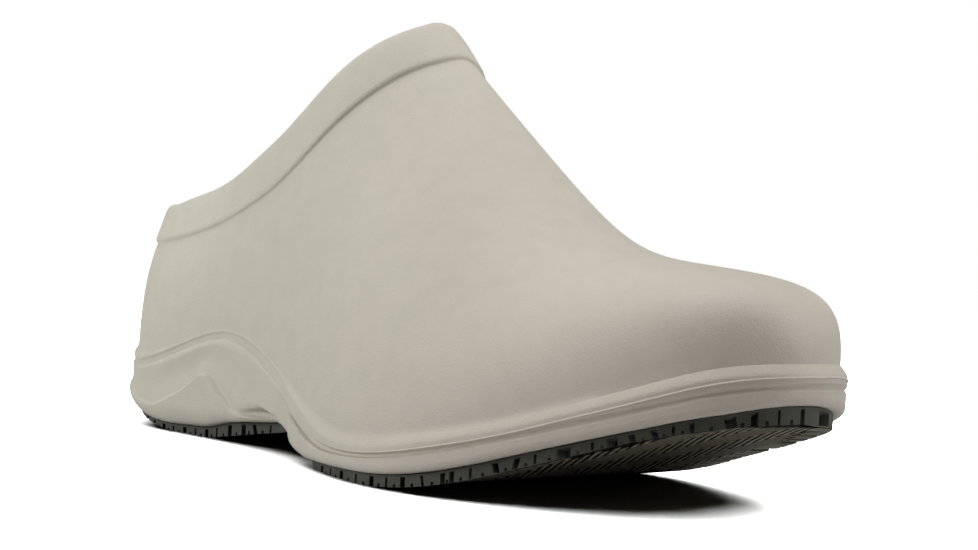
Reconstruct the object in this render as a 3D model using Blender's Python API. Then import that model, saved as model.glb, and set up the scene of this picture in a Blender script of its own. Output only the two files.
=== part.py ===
"""Right-foot moulded slip-on work clog: one hollow moulded body, two rubber outsole pads and an insole.

The shoe is laid out along X from heel to toe, with its lateral side towards -Y and the floor at z = 0.
A place on the outline is a turn u: 0 at the heel, 0 to 1 along the lateral side, 1 at the toe, and 1 to 2
back along the medial side. Sizes are millimetres, turned into metres when a mesh is made.
"""

import bpy
import bmesh
import numpy as np

MM = 0.001

# Driving dimensions.
SHOE_LENGTH = 300.0
SOLE_STEP = 3.0          # how far the upper stands in from the sole at heel and toe
LAST_LENGTH = SHOE_LENGTH - 2 * SOLE_STEP
THROAT_SHARE = 0.52      # where the collar crosses the instep, as a share of the last's length
WALL = 3.4
CUFF_FRONT_WIDTH = 16.6  # width of the cuff at the throat
CUFF_STEP = 1.0
CUFF_LEAN = 0.08         # the cuff's front stands up from the slope of the vamp
CUFF_LEAN_EASE = 6       # how late it leans
PAD_INSET = 1.2          # pads stand in from the wall of the last
PAD_ROUNDING = 0.6       # rounding of the pads' lower edge
PAD_END_LEAN = 1.4       # the pads' straight ends slope in towards their lower edge
INSOLE_THICKNESS = 4.2
INSOLE_INSET = 6.0       # insole stands in from the outside of the last
SEAT_GAP = 0.3           # clearance between pieces that touch
INSOLE_COLUMNS = 72      # points round each ring of the insole

# Columns of points along each side of body and pads: x from, x to, number of columns.
COLUMN_RUNS = (
    (0.0, 57.0, 13),
    (57.0, 72.0, 3),
    (72.0, 119.0, 8),
    (119.0, 153.5, 6),
    (153.5, 183.0, 3),
    (183.0, 240.0, 5),
    (240.0, 300.0, 12),
)

# Bottom outline of the last: share of its length from the heel, lateral y, medial y.
LAST_OUTLINE = np.array([
    (0.045, -28.4, 28.0),
    (0.14, -37.2, 36.6),
    (0.28, -35.3, 35.4),
    (0.42, -39.9, 36.9),
    (0.58, -52.7, 45.8),
    (0.70, -52.7, 50.4),
    (0.82, -43.4, 45.7),
    (0.93, -28.4, 36.2),
])
TOE_TIP_Y = 2.4

# Bottom line of the last from the side: x, height.
LAST_BOTTOM = np.array([
    (0.0, 21.0),
    (60.0, 19.5),
    (110.0, 16.5),
    (150.0, 13.8),
    (180.0, 13.1),
    (212.0, 16.9),
    (238.0, 23.1),
    (255.0, 28.7),
    (272.0, 34.8),
    (287.0, 40.3),
    (294.0, 41.8),
    (300.0, 42.2),
])

# Inner floor from the side: x, height.
INNER_FLOOR = np.array([
    (0.0, 22.0),
    (60.0, 21.2),
    (110.0, 19.8),
    (150.0, 16.8),
    (180.0, 14.4),
    (212.0, 16.2),
    (252.0, 25.6),
    (287.0, 37.8),
    (300.0, 40.3),
])

# Sections of the last: share of its length, height of the section's crown. Behind the throat the crown
# is above the collar and only sets how the side walls lean in.
SECTION_CROWN = np.array([
    (0.00, 84.0),
    (0.13, 84.0),
    (0.27, 109.0),
    (0.40, 150.0),
    (0.50, 131.5),
    (0.56, 116.0),
    (0.63, 97.7),
    (0.70, 80.9),
    (0.77, 70.6),
    (0.85, 66.4),
    (0.93, 63.8),
    (0.98, 57.7),
    (1.00, 42.3),
])

# Squareness of the sections: share of the last's length, superellipse power (2 is an ellipse).
SECTION_POWER = np.array([
    (0.00, 2.5),
    (0.20, 2.5),
    (0.40, 2.15),
    (0.50, 1.75),
    (0.60, 1.78),
    (0.75, 1.96),
    (0.90, 2.6),
    (1.00, 3.1),
])

# Collar cuff: half turn from heel to throat, height of its lower edge, width. At the throat the height
# comes from the crown.
COLLAR_LINE = np.array([
    (0.00, 65.0, 14.2),
    (0.10, 64.3, 14.2),
    (0.20, 64.4, 14.4),
    (0.34, 66.2, 16.7),
    (0.45, 71.5, 16.4),
    (0.55, 79.0, 16.3),
    (0.65, 89.0, 16.4),
    (0.75, 103.7, 15.7),
    (0.85, 117.8, 16.1),
])

# Sidewall from the side: x, height of the ledge under the upper, height of the bead below the ledge.
SIDE_LINES = np.array([
    (0.0, 27.5, 1.8),
    (20.0, 23.0, 2.2),
    (40.0, 24.4, 2.8),
    (64.0, 31.8, 3.1),
    (87.0, 36.0, 3.1),
    (112.0, 29.8, 3.6),
    (143.0, 19.3, 5.8),
    (160.0, 15.3, 5.6),
    (180.0, 13.1, 4.6),
    (212.0, 16.9, 4.2),
    (238.0, 23.1, 4.0),
    (255.0, 28.7, 4.5),
    (272.0, 34.8, 5.2),
    (287.0, 40.3, 5.3),
    (294.0, 41.8, 4.9),
    (300.0, 42.2, 4.4),
])

# Upper edge of the heel pod, a W-shaped facet: x, height.
HEEL_FACET = np.array([
    (0.0, 19.0),
    (22.0, 12.6),
    (42.0, 8.6),
    (49.0, 9.4),
    (55.0, 11.6),
    (64.0, 15.6),
    (71.0, 19.6),
    (75.5, 21.4),
    (80.0, 19.2),
    (86.0, 14.9),
    (92.0, 11.8),
    (97.0, 10.1),
    (104.0, 9.9),
    (113.0, 10.5),
    (125.0, 11.2),
])
FACET_END = (128.0, 134.0)   # where the heel facet hands over to the forefoot pod
FOREFOOT_FACET_DROP = (2.1, 1.2)      # forefoot pod starts this far under the bead, at its rear and ahead
FACET_DROP_SPAN = (158.0, 182.0)
POD_MIN_HEIGHT = 0.8
SOLE_LIP = 1.3               # flat rim under the sidewall, in from the pads' edge

# Stand-outs of the sidewall from the last along the shoe. The columns are x, the swelling of the wall above
# the ledge, the distance below the ledge to the bead, the bead, the roundness of its shoulder, the step at
# the bead's foot, the depth of the channel in the bead, the hollow of the panel under it, the step of the
# pod, half the width of that step, the height of the pod's rounding and the tuck of that rounding.
SIDE_COLUMNS = ("x", "swell", "bead_drop", "bead", "shoulder", "bead_foot", "channel", "hollow", "pod",
                "pod_edge", "rounding", "tuck")
SIDE_SHAPE = np.array([
    (0.0, 6.4, -2.0, 3.4, 0.0, -0.7, 0.0, 0.0, 0.2, 0.9, 8.0, 4.8),
    (24.0, 3.0, -0.6, 1.1, 0.0, 0.4, 0.4, 0.2, 1.0, 0.9, 7.0, 4.2),
    (60.0, 0.6, 0.2, 0.2, 0.0, 0.8, 0.5, 0.6, 1.7, 0.8, 7.0, 3.4),
    (104.0, 0.6, 0.3, 0.3, 0.0, 0.6, 0.5, 0.4, 1.5, 0.5, 2.5, 1.6),
    (118.0, 0.6, 0.5, 0.5, 0.0, 0.3, 0.5, 0.0, 0.0, 0.4, 2.0, 1.2),
    (134.0, 0.6, 1.3, 1.0, 0.1, -0.7, 0.2, 0.0, 0.0, 0.4, 2.0, 1.4),
    (137.5, 0.6, 1.6, 1.1, 0.1, -1.0, 0.1, 0.0, 1.5, 0.3, 3.0, 2.2),
    (166.0, 0.6, 3.0, 1.4, 0.2, -1.0, 0.0, 0.0, 1.3, 0.3, 2.6, 2.0),
    (230.0, 0.3, 2.6, 1.7, 0.7, -0.8, 0.0, 0.0, 0.8, 0.45, 2.4, 1.8),
    (300.0, 0.2, 2.8, 2.0, 0.5, -0.75, 0.0, 0.0, 0.6, 0.6, 2.4, 1.8),
])

# Widths over which the steps of the sidewall run, above and below each line.
BEAD_FOOT_STEP = 0.45
CHANNEL_TOP = (0.3, 0.9)
CHANNEL_FOOT = (0.7, 0.0)
WAIST_STEP = (0.6, 1.5)
PANEL_LEAST = 0.1              # least height of the panel between pod and bead
ARCH_UNDER_GROOVE = 1.0        # the arch's line keeps this far below the bead

# Height of the outsole pads along the shoe: x, height.
PAD_SHOW = np.array([
    (0.0, 2.1),
    (40.0, 2.1),
    (61.0, 2.9),
    (78.0, 3.7),
    (89.0, 4.5),
    (100.0, 4.0),
    (112.0, 3.2),
    (130.0, 2.7),
    (150.0, 2.7),
    (185.0, 3.5),
    (225.0, 3.9),
    (250.0, 3.4),
    (272.0, 3.0),
    (288.0, 3.7),
    (300.0, 5.3),
])

# Underside from the side.
HEEL_INSET = (5.0, 45.0, 1.2)         # the heel pad stands further in from here to here by this much
HEEL_BEVEL_END = 57.0
HEEL_BEVEL_RISE = 12.0
HEEL_BEVEL_POWER = 1.7
ARCH_RAMP = (72.0, 8.0, 0.158)        # start, length of the easing, slope
WAIST = (92.0, 117.0, 4.5)            # the heel pad's end tapers in from here to here by this much
WAIST_END = (119.0, 124.0)            # behind the heel pad the body ends at the arch line
# Lower edge of the wall over the arch: x, height.
ARCH_LINE = np.array([
    (90.0, 10.6),
    (98.0, 11.6),
    (105.0, 12.8),
    (112.0, 13.0),
    (118.0, 12.2),
    (123.0, 11.0),
    (128.0, 9.2),
    (132.0, 7.7),
    (136.0, 5.7),
    (140.0, 4.2),
    (146.0, 3.3),
    (154.0, 2.8),
])
TOE_SPRING = (183.0, 50.0, 0.33)      # start, length of the easing, slope
TOE_FLATTEN = (268.0, 0.0026)         # the spring eases off towards the tip
TOE_TWIST = (225.0, 285.0, 1.5)       # the medial toe springs less, from here to here by this much
TWIST_ACROSS = (-10.0, 45.0)

# Rows of points up the sidewall: lower line, upper line, shares of the way between them.
SIDE_ROWS = (
    ("edge", "facet_foot", (0.0, 0.025, 0.1, 0.3, 0.65)),
    ("facet_foot", "facet_top", (0.0,)),
    ("facet_top", "arch_foot", (0.0,)),
    ("arch_foot", "arch_top", (0.0, 0.5)),
    ("arch_top", "groove_foot", (0.0, 0.5)),
    ("groove_foot", "groove_top", (0.0,)),
    ("groove_top", "bead_top", (0.0, 0.5)),
    ("bead_top", "ledge", (0.0, 0.5)),
)
ROW_GAP = 0.12                 # least distance between neighbouring lines

# Outsole pads: name, turn at the round end, x of the straight end at the arch, pitch of the side slots.
PADS = (
    ("outsole_forefoot", 1.0, 153.5, 14.4),
    ("outsole_heel", 0.0, 119.0, 12.7),
)

# Slots in the side of the pads, which part the lugs.
SLOT_WIDTH = 1.9
SLOT_DEPTH = 5.0
SLOT_END_MARGIN = 6.0    # no slot this close to a pad's straight end
SLOT_ROOF = 0.5          # rubber left above each slot
SLOT_OVERRUN = 2.0       # cutters reach this far past the rubber

# Rings of the upper from the ledge (0) to the collar line (1), outside and inside.
UPPER_LEVELS = (0.0, 0.015, 0.035, 0.07, 0.12, 0.21, 0.32, 0.45, 0.59, 0.73, 0.87, 1.0)
INNER_LEVELS = (0.97, 0.78, 0.58, 0.40, 0.24, 0.12)
FRONT_EASE = 1.6         # how the rings' front ends gather up the vamp
RIDGE_EASE = 3           # how late the rings climb to the vamp's ridge

# Foot of the inner wall: height over the inner floor, distance in from the outside of the last.
INNER_FOOT = (
    (4.0, WALL),
    (1.2, WALL + 0.6),
    (0.0, WALL + 2.4),
)

# Insole profile from below: height over its seat, distance in from its edge.
INSOLE_PROFILE = (
    (0.0, 0.8),
    (1.4, 0.0),
    (INSOLE_THICKNESS + 0.6, 0.0),
    (INSOLE_THICKNESS + 0.8, 1.6),
    (INSOLE_THICKNESS, 7.4),
)

# Cuff profile: stand-out from the wall, share of the cuff's width, extra millimetres along the width.
CUFF_PROFILE = (
    (CUFF_STEP, 0.0, -0.3),
    (CUFF_STEP + 0.2, 0.0, 0.8),
    (CUFF_STEP + 0.3, 0.5, 0.0),
    (CUFF_STEP, 1.0, -1.7),
    (CUFF_STEP - 0.8, 1.0, -0.5),
    (CUFF_STEP - 2.2, 1.0, 0.0),
    (CUFF_STEP - 3.7, 1.0, -0.6),
    (-WALL, 1.0, -2.4),
    (-WALL, 0.5, 0.0),
)


def spline(knots, values):
    """Natural cubic spline through the rows of a table."""
    knots = np.asarray(knots, float)
    values = np.asarray(values, float)
    count = len(knots)
    step = np.diff(knots)
    slope = np.diff(values) / step
    matrix = np.eye(count)
    right = np.zeros(count)
    for row in range(1, count - 1):
        matrix[row, row - 1:row + 2] = step[row - 1], 2 * (step[row - 1] + step[row]), step[row]
        right[row] = 6 * (slope[row] - slope[row - 1])
    bend = np.linalg.solve(matrix, right)

    def curve(x):
        x = np.asarray(x, float)
        cell = np.clip(np.searchsorted(knots, x) - 1, 0, count - 2)
        d = x - knots[cell]
        start = slope[cell] - step[cell] * (2 * bend[cell] + bend[cell + 1]) / 6
        cubic = (bend[cell + 1] - bend[cell]) / (6 * step[cell])
        return values[cell] + d * (start + d * (bend[cell] / 2 + d * cubic))

    return curve


def share_of(turn):
    """Share of the length reached at a turn; points bunch at heel and toe, where the outline is round."""
    return (1 - np.cos(np.pi * np.asarray(turn, float))) / 2


def turn_of(share):
    return np.arccos(1 - 2 * np.clip(share, 0, 1)) / np.pi


def half_turn(u):
    u = np.mod(u, 2.0)
    return np.where(u <= 1, u, 2 - u)


def smooth_step(x, start, end):
    s = np.clip((np.asarray(x, float) - start) / (end - start), 0, 1)
    return s * s * (3 - 2 * s)


def soft_ramp(x, start, easing, slope):
    """Zero up to start, a parabola over the easing, then a straight slope."""
    d = np.clip(np.asarray(x, float) - start, 0, None)
    return slope * np.where(d < easing, d * d / (2 * easing), d - easing / 2)


def closed_outline(rows, tip):
    """Periodic spline of y round the outline, from the lateral and medial columns."""
    turns = turn_of(rows[:, 0])
    knots = np.r_[0, turns, 1, 2 - turns[::-1]]
    values = np.r_[0, rows[:, 1], tip, rows[::-1, 2]]
    wrap = 4
    return spline(np.r_[knots[-wrap:] - 2, knots, knots[:wrap] + 2],
                  np.r_[values[-wrap:], values, values[:wrap]])


outline_y = closed_outline(LAST_OUTLINE, TOE_TIP_Y)
last_bottom = spline(LAST_BOTTOM[:, 0], LAST_BOTTOM[:, 1])
inner_floor = spline(INNER_FLOOR[:, 0], INNER_FLOOR[:, 1])
ledge_line = spline(SIDE_LINES[:, 0], SIDE_LINES[:, 1])
bead_height = spline(SIDE_LINES[:, 0], SIDE_LINES[:, 2])
heel_facet = spline(HEEL_FACET[:, 0], HEEL_FACET[:, 1])
arch_line = spline(ARCH_LINE[:, 0], ARCH_LINE[:, 1])
section_crown = spline(turn_of(SECTION_CROWN[:, 0]), SECTION_CROWN[:, 1])
section_power = spline(turn_of(SECTION_POWER[:, 0]), SECTION_POWER[:, 1])
throat_height = float(section_crown(turn_of(THROAT_SHARE)))
collar_line = spline(np.r_[COLLAR_LINE[:, 0], 1.0], np.r_[COLLAR_LINE[:, 1], throat_height])
cuff_width = spline(np.r_[COLLAR_LINE[:, 0], 1.0], np.r_[COLLAR_LINE[:, 2], CUFF_FRONT_WIDTH])


def along(turn):
    """x at a turn of the last."""
    return SOLE_STEP + LAST_LENGTH * share_of(turn)


def ring_x(u):
    return along(half_turn(u))


def underside(x, y):
    """Height of the walking surface: heel bevel, arch, flat ball and a toe spring that twists."""
    heel = HEEL_BEVEL_RISE * np.clip((HEEL_BEVEL_END - x) / HEEL_BEVEL_END, 0, None) ** HEEL_BEVEL_POWER
    arch = soft_ramp(x, *ARCH_RAMP) * (1 - smooth_step(x, *WAIST_END))
    flatten_start, flatten = TOE_FLATTEN
    toe = soft_ramp(x, *TOE_SPRING) - flatten * np.clip(x - flatten_start, 0, None) ** 2
    twist_start, twist_end, twist = TOE_TWIST
    return heel + arch + toe - twist * smooth_step(x, twist_start, twist_end) * smooth_step(y, *TWIST_ACROSS)


def side_shape(x):
    """Named stand-outs of the sidewall at x, eased from row to row of their table."""
    knots = SIDE_SHAPE[:, 0]
    row = np.clip(np.searchsorted(knots, x) - 1, 0, len(knots) - 2)
    share = smooth_step(x, knots[row], knots[row + 1])
    values = SIDE_SHAPE[row].T + (SIDE_SHAPE[row + 1] - SIDE_SHAPE[row]).T * share
    return dict(zip(SIDE_COLUMNS, values))


def pad_height(x):
    return np.interp(x, PAD_SHOW[:, 0], PAD_SHOW[:, 1])


def waist(x):
    """How far the heel pad's end, and the moulding over it, taper in towards the arch."""
    start, end, depth = WAIST
    return depth * smooth_step(x, start, end) * (1 - smooth_step(x, *WAIST_END))


def pad_inset(x):
    """How far the pads stand in from the wall of the last."""
    start, end, extra = HEEL_INSET
    return PAD_INSET + extra * (1 - smooth_step(x, start, end)) + waist(x)


def bottom_edge(x, y):
    """Height of the moulding's lower edge: the top of the pads, and the arch line between them."""
    over_pads = underside(x, y) + pad_height(x)
    over_arch = arch_line(np.clip(x, ARCH_LINE[0, 0], ARCH_LINE[-1, 0]))
    between = smooth_step(x, *WAIST_END) * (1 - smooth_step(x, *ARCH_LINE[-2:, 0]))
    return over_pads + (over_arch - over_pads) * between


def side_lines(x, y):
    """Heights of the lines that run along the sidewall."""
    ledge = ledge_line(x)
    groove = ledge - bead_height(x)
    edge = bottom_edge(x, y)
    forefoot = smooth_step(x, *FACET_END)
    facet = heel_facet(np.minimum(x, HEEL_FACET[-1, 0])) * (1 - forefoot)
    arch = np.minimum(arch_line(np.clip(x, ARCH_LINE[0, 0], ARCH_LINE[-1, 0])), groove - ARCH_UNDER_GROOVE)
    rear_drop, toe_drop = FOREFOOT_FACET_DROP
    drop = rear_drop + (toe_drop - rear_drop) * smooth_step(x, *FACET_DROP_SPAN)
    facet = facet + (groove - drop) * forefoot
    facet = np.maximum(facet, edge + POD_MIN_HEIGHT)
    arch = np.maximum(arch, facet + POD_MIN_HEIGHT)
    return {"ledge": ledge, "groove": groove, "arch": arch, "facet": facet, "edge": edge}


def stand_out(x, y, z):
    """How far the moulding stands out from the last at a height: flare, bead, channel, panel and pod."""
    lines = side_lines(x, y)
    shape = side_shape(x)

    def below(line, over, under):
        return smooth_step(-z, -(lines[line] + over), -(lines[line] - under))

    ramp = np.clip((lines["ledge"] + shape["swell"] - z) / (shape["swell"] + shape["bead_drop"]), 0, 1)
    eased_ramp = ramp * ramp * (3 - 2 * ramp)
    round_ramp = np.sqrt(1 - (1 - ramp) ** 2)
    out = shape["bead"] * (eased_ramp + (round_ramp - eased_ramp) * shape["shoulder"])
    out = out + shape["bead_foot"] * below("groove", BEAD_FOOT_STEP, BEAD_FOOT_STEP)
    out = out - shape["channel"] * (below("ledge", *CHANNEL_TOP) - below("groove", *CHANNEL_FOOT))
    panel = np.maximum(lines["groove"] - lines["facet"], PANEL_LEAST)
    out = out - shape["hollow"] * np.sin(np.pi * np.clip((lines["groove"] - z) / panel, 0, 1)) ** 2
    out = out + shape["pod"] * below("facet", shape["pod_edge"], shape["pod_edge"])
    out = out - waist(x) * below("arch", *WAIST_STEP)
    height = np.minimum(shape["rounding"], np.maximum(lines["facet"] - lines["edge"], POD_MIN_HEIGHT))
    under = np.clip(1 - (z - lines["edge"]) / height, 0, 1)
    return out - shape["tuck"] * (1 - np.sqrt(1 - under ** 2))


def section_point(turn, rise, lateral):
    """Point on the last: rise 0 is its bottom line, 1 the section's crown; lateral is True on the -Y side."""
    x = along(turn)
    power = section_power(turn)
    centre = TOE_TIP_Y * share_of(turn) ** 2
    side_y = outline_y(np.where(lateral, turn, 2 - turn))
    narrowing = np.clip(1 - np.clip(rise, 0, 1) ** power, 0, 1) ** (1 / power)
    height = last_bottom(x) + (section_crown(turn) - last_bottom(x)) * rise
    return np.stack([x, centre + (side_y - centre) * narrowing, height], -1)


def outward(u):
    """Unit vector in plan that points out of the outline at turn u."""
    e = 1e-3

    def place(v):
        return np.stack([along(half_turn(v)), outline_y(np.mod(v, 2.0))], -1)

    d = place(u + e) - place(u - e)
    d /= np.linalg.norm(d, axis=-1, keepdims=True)
    return np.stack([d[:, 1], -d[:, 0], np.zeros(len(d))], -1)


def upper_ring(u, level):
    """Ring round the upper on the last's surface: level 0 lies on the ledge, 1 on the collar line."""
    turn = half_turn(u)
    reach = share_of(turn)
    front = 1 - (1 - THROAT_SHARE) * level ** FRONT_EASE
    front_turn = turn_of(front)
    front_rise = section_crown(front_turn) - last_bottom(along(front_turn))
    throat_turn = turn_of(THROAT_SHARE)
    throat_rise = throat_height - last_bottom(along(throat_turn))
    collar_rise = collar_line(turn) - last_bottom(along(turn_of(THROAT_SHARE * reach)))
    station = turn_of(front * reach)
    x = along(station)
    wave = (ledge_line(x) - last_bottom(x)) * (1 - level)
    rise = wave + level * collar_rise + (front_rise - level * throat_rise) * reach ** RIDGE_EASE
    crown_rise = np.maximum(section_crown(station) - last_bottom(x), 1e-6)
    at_ridge = turn > 1 - 1e-9
    return section_point(station, np.where(at_ridge, 1.0, rise / crown_rise), np.mod(u, 2.0) <= 1)


def ring_frame(u, level):
    """A ring with its outward normal and its direction up the wall."""
    e = 0.01
    ring = upper_ring(u, level)
    tangent = np.roll(ring, -1, 0) - np.roll(ring, 1, 0)
    tangent /= np.linalg.norm(tangent, axis=1, keepdims=True)
    climb = upper_ring(u, min(level + e, 1.0)) - upper_ring(u, min(level + e, 1.0) - 2 * e)
    climb -= (climb * tangent).sum(1, keepdims=True) * tangent
    climb /= np.linalg.norm(climb, axis=1, keepdims=True)
    return ring, np.cross(tangent, climb), climb


def wall_ring(u, height, out):
    """Ring at a height on the last's lower wall, moved out in plan."""
    turn = half_turn(u)
    x = along(turn)
    rise = (height - last_bottom(x)) / np.maximum(section_crown(turn) - last_bottom(x), 1.0)
    ring = section_point(turn, np.clip(rise, 0, 0.9), np.mod(u, 2.0) <= 1)
    ring = ring + outward(u) * np.reshape(out, (-1, 1))
    ring[:, 2] = height
    return ring


def swollen_ring(u, level):
    """Ring of the upper with the flare that carries it out over the sidewall."""
    ring = upper_ring(u, level)
    station = turn_of((ring[:, 0] - SOLE_STEP) / LAST_LENGTH)
    side_turn = np.where(np.mod(u, 2.0) <= 1, station, 2 - station)
    return ring + outward(side_turn) * stand_out(*ring.T)[:, None]


def side_turns():
    """Turns of the columns of points along one side, closer together where the wall changes most."""
    runs = []
    for start, end, count in COLUMN_RUNS:
        span = turn_of((np.array([start, end]) - SOLE_STEP) / LAST_LENGTH)
        runs.append(np.linspace(*span, count, endpoint=False))
    return np.concatenate([*runs, [1.0]])


def row_lines(x, y):
    """Lines that the rows of the sidewall follow, from its lower edge up, kept apart from each other."""
    lines = side_lines(x, y)
    shape = side_shape(x)
    waist_over, waist_under = WAIST_STEP
    channel_depth = CHANNEL_TOP[1]
    names, heights = zip(
        ("edge", lines["edge"]),
        ("facet_foot", lines["facet"] - shape["pod_edge"]),
        ("facet_top", lines["facet"] + shape["pod_edge"]),
        ("arch_foot", lines["arch"] - waist_under),
        ("arch_top", lines["arch"] + waist_over),
        ("groove_foot", lines["groove"] - BEAD_FOOT_STEP),
        ("groove_top", lines["groove"] + BEAD_FOOT_STEP),
        ("bead_top", lines["ledge"] - np.maximum(shape["bead_drop"], channel_depth)),
        ("ledge", lines["ledge"]),
    )
    heights = list(heights)
    for k in range(1, len(heights)):
        heights[k] = np.maximum(heights[k], heights[k - 1] + ROW_GAP)
    heights[-1] = lines["ledge"]
    for k in reversed(range(len(heights) - 1)):
        heights[k] = np.minimum(heights[k], heights[k + 1] - ROW_GAP)
    return dict(zip(names, heights))


def body_rings():
    """Rings of the hollow moulding: up the sidewall, upper and cuff, over the rim and down to the floor."""
    turns = side_turns()
    u = np.r_[turns, 2 - turns[-2:0:-1]]
    x = ring_x(u)
    y = outline_y(u)
    lines = row_lines(x, y)
    rings = [wall_ring(u, lines["edge"], -SOLE_LIP - pad_inset(x))]
    for lower, upper, shares in SIDE_ROWS:
        for share in shares:
            height = lines[lower] + (lines[upper] - lines[lower]) * share
            rings.append(wall_ring(u, height, stand_out(x, y, height)))
    rings += [swollen_ring(u, level) for level in UPPER_LEVELS]
    collar, normal, climb = ring_frame(u, 1.0)
    forward = share_of(half_turn(u))[:, None]
    width = cuff_width(half_turn(u))[:, None]
    lean = CUFF_LEAN * forward ** CUFF_LEAN_EASE
    for out, share, extra in CUFF_PROFILE:
        rise = width * share + extra
        rings.append(collar + normal * (out + lean * rise) + climb * rise)
    for level in INNER_LEVELS:
        ring, normal, climb = ring_frame(u, level)
        rings.append(ring - normal * WALL)
    floor = inner_floor(x)
    for height, stand_in in INNER_FOOT:
        rings.append(wall_ring(u, floor + height, -stand_in))
    return rings


def new_material(name, colour, roughness):
    material = bpy.data.materials.new(name)
    material.use_nodes = True
    shader = material.node_tree.nodes["Principled BSDF"]
    shader.inputs["Base Color"].default_value = (*colour, 1.0)
    shader.inputs["Roughness"].default_value = roughness
    shader.inputs["Metallic"].default_value = 0.0
    return material


def collection(name):
    made = bpy.data.collections.new(name)
    bpy.context.scene.collection.children.link(made)
    return made


def loft(name, rings, home):
    """Closed solid through rings from the bottom up; each end is closed by strips from side to side.

    A ring with an even count has a point at each end; one with an odd count starts with a straight end.
    """
    mesh = bpy.data.meshes.new(name)
    bm = bmesh.new()
    rows = [[bm.verts.new((point - ORIGIN) * MM) for point in ring] for ring in rings]
    count = len(rows[0])
    for lower, upper in zip(rows, rows[1:]):
        for i in range(count):
            k = (i + 1) % count
            bm.faces.new((lower[i], lower[k], upper[k], upper[i]))
    for row, flip in ((rows[0], True), (rows[-1], False)):
        across = count - count % 2
        for i in range(count // 2):
            corners = [row[i], row[i + 1], row[across - i - 1], row[(across - i) % count]]
            corners = list(dict.fromkeys(corners))
            bm.faces.new(corners[::-1] if flip else corners)
    bmesh.ops.triangulate(bm, faces=bm.faces[:])
    bm.to_mesh(mesh)
    bm.free()
    mesh.shade_smooth()
    made = bpy.data.objects.new(name, mesh)
    home.objects.link(made)
    return made


def pad_turns(end_turn, arch_x, lean):
    """Turns round a pad's outline, from its straight end at the arch round its far end and back."""
    arch_turn = turn_of((arch_x - SOLE_STEP) / LAST_LENGTH)
    towards_toe = end_turn > arch_turn
    lean_turn = turn_of((arch_x + (lean if towards_toe else -lean) - SOLE_STEP) / LAST_LENGTH)
    turns = side_turns()
    near, far = sorted((arch_turn, end_turn))
    margin = 1e-6
    between = turns[(turns > near + margin) & (turns < far - margin)]
    lateral = np.r_[lean_turn, between if towards_toe else between[::-1], end_turn]
    one_way = np.r_[lateral, 2 - lateral[-2::-1]]
    return one_way if towards_toe else 2 - one_way


def pad_rings(end_turn, arch_x):
    """Rings of a pad: its walking surface, the rounding over that and its upper edge under the moulding."""
    rings = []
    for lean, of_height, lift, stand_in in (
        (PAD_END_LEAN, 0, 0.0, PAD_ROUNDING),
        (PAD_END_LEAN, 0, PAD_ROUNDING, 0.0),
        (0.0, 1, -SEAT_GAP, 0.0),
    ):
        u = pad_turns(end_turn, arch_x, lean)
        x = ring_x(u)
        height = underside(x, outline_y(np.mod(u, 2.0))) + pad_height(x) * of_height + lift
        rings.append(wall_ring(u, height, -pad_inset(x) - stand_in))
    return rings


def slot_cutter(name, u_values, home):
    """Upright slots cut into the side of a pad, one for each turn."""
    mesh = bpy.data.meshes.new(name)
    bm = bmesh.new()
    for u in u_values:
        turn = np.array([u])
        x = ring_x(turn)
        foot = underside(x, outline_y(np.mod(turn, 2.0)))[0]
        roof = foot + pad_height(x)[0] - SEAT_GAP - SLOT_ROOF
        spot = wall_ring(turn, np.array([0.0]), -pad_inset(x))[0]
        away = outward(turn)[0]
        side = np.array([-away[1], away[0], 0.0])
        made = bmesh.ops.create_cube(bm, size=1.0)
        for vert in made["verts"]:
            across, inward, up = vert.co
            reach = SLOT_OVERRUN - (inward + 0.5) * (SLOT_DEPTH + SLOT_OVERRUN)
            point = spot + side * across * SLOT_WIDTH + away * reach
            point[2] = roof if up > 0 else foot - SLOT_OVERRUN
            vert.co = (point - ORIGIN) * MM
    bmesh.ops.recalc_face_normals(bm, faces=bm.faces[:])
    bm.to_mesh(mesh)
    bm.free()
    made = bpy.data.objects.new(name, mesh)
    made.hide_render = True
    made.display_type = "WIRE"
    home.objects.link(made)
    return made


def slot_turns(end_turn, arch_x, pitch):
    """Turns of evenly pitched slots on both sides of a pad, counted from its round end."""
    turn = np.linspace(end_turn, 1 - end_turn, 2001)
    ring = wall_ring(turn, np.zeros(len(turn)), -PAD_INSET)
    run = np.r_[0, np.cumsum(np.linalg.norm(np.diff(ring[:, :2], axis=0), axis=1))]
    from_arch = np.abs(ring_x(turn) - arch_x)
    usable = run[np.argmin(from_arch)] - SLOT_END_MARGIN
    lateral = np.interp(np.arange(0, usable, pitch), run, turn)
    return np.r_[lateral, 2 - lateral[1:]]


def make_pad(name, end_turn, arch_x, pitch, home, cutter_home):
    """Rubber pad with lugs round its edge, parted by slots."""
    pad = loft(name, pad_rings(end_turn, arch_x), home)
    cut = pad.modifiers.new("slots", "BOOLEAN")
    cut.operation = "DIFFERENCE"
    cut.object = slot_cutter(name + "_slots", slot_turns(end_turn, arch_x, pitch), cutter_home)
    return pad


def make_insole(home):
    """Footbed that lies on the inner floor, with a slightly raised rim."""
    u = np.arange(INSOLE_COLUMNS) * 2.0 / INSOLE_COLUMNS
    seat = inner_floor(ring_x(u)) + SEAT_GAP
    rings = [wall_ring(u, seat + height, -INSOLE_INSET - stand_in) for height, stand_in in INSOLE_PROFILE]
    return loft("insole", rings, home)


def plan_middle(rings):
    """Middle of the shoe's box in plan, where the part's origin lies."""
    points = np.concatenate(rings)
    middle = (points.min(0) + points.max(0)) / 2
    return np.array([middle[0], middle[1], 0.0])


for old in list(bpy.data.objects):
    bpy.data.objects.remove(old, do_unlink=True)

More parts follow.
